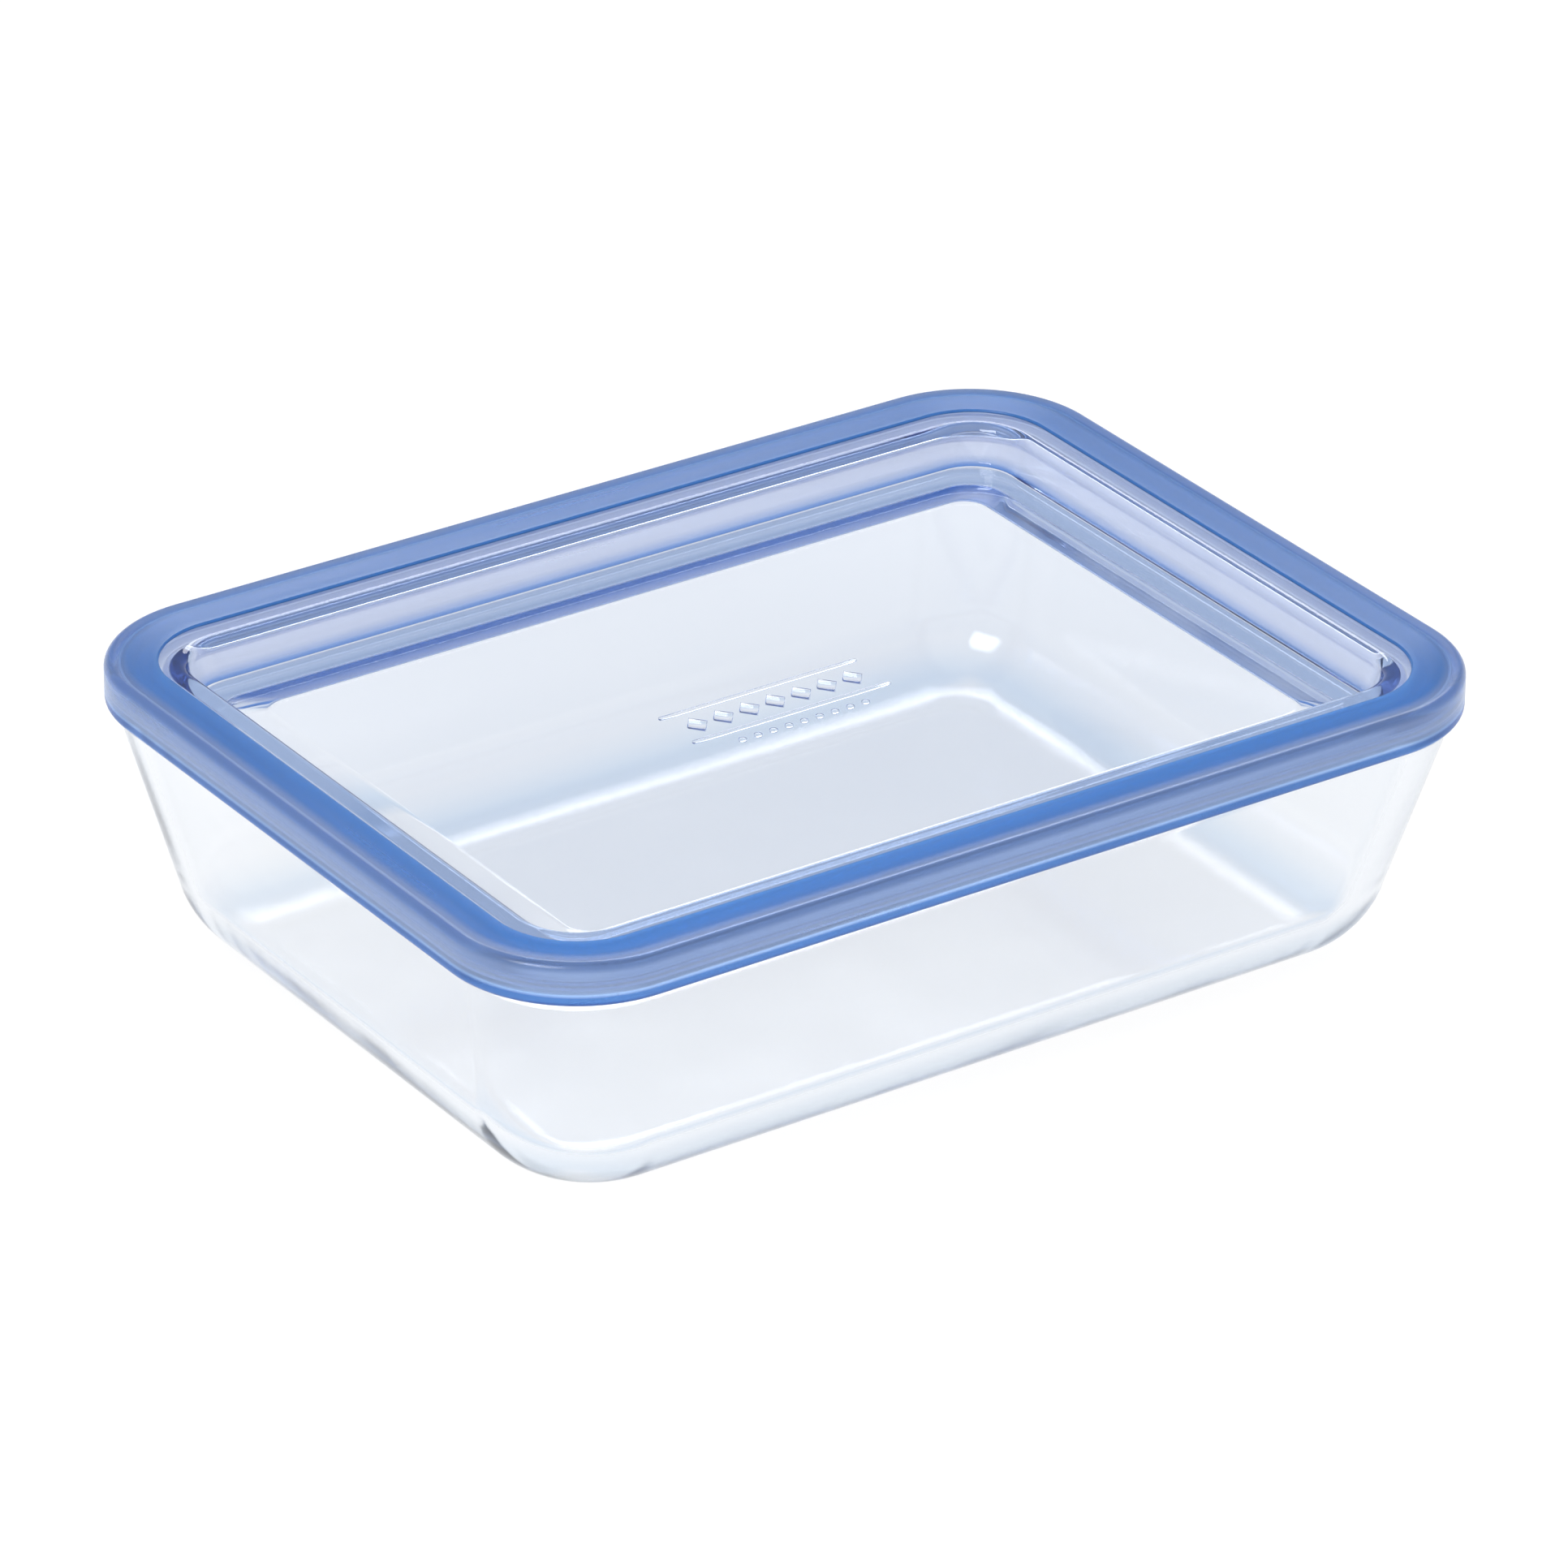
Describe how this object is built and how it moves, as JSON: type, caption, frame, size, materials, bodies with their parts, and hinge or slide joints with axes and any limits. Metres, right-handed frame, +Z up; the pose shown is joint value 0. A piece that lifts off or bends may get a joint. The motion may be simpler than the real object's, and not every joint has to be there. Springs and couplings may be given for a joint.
{
  "type": "glass food storage dish with lid",
  "caption": "Rectangular clear glass food storage dish with a recessed glass lid whose edge is wrapped in a soft sealing rim.",
  "frame": {"origin": "centre of the flat base, on the surface the dish stands on", "axes": "+X along the dish's length, +Y across its width, +Z up through the lid"},
  "size_m": [0.24, 0.181, 0.065],
  "materials": {
    "dish_glass": "polished clear pressed glass",
    "lid_glass": "polished clear pressed glass",
    "rim_rubber": "smooth translucent blue elastomer"
  },
  "bodies": {
    "dish": {"glass_dish": "dish_glass"},
    "lid": {"glass_lid": "lid_glass", "sealing_rim": "rim_rubber"}
  },
  "joints": [
    {"name": "lid_lift", "type": "slide", "parent": "dish", "child": "lid", "axis": [0, 0, 1], "range_m": [0, 0.06]}
  ]
}
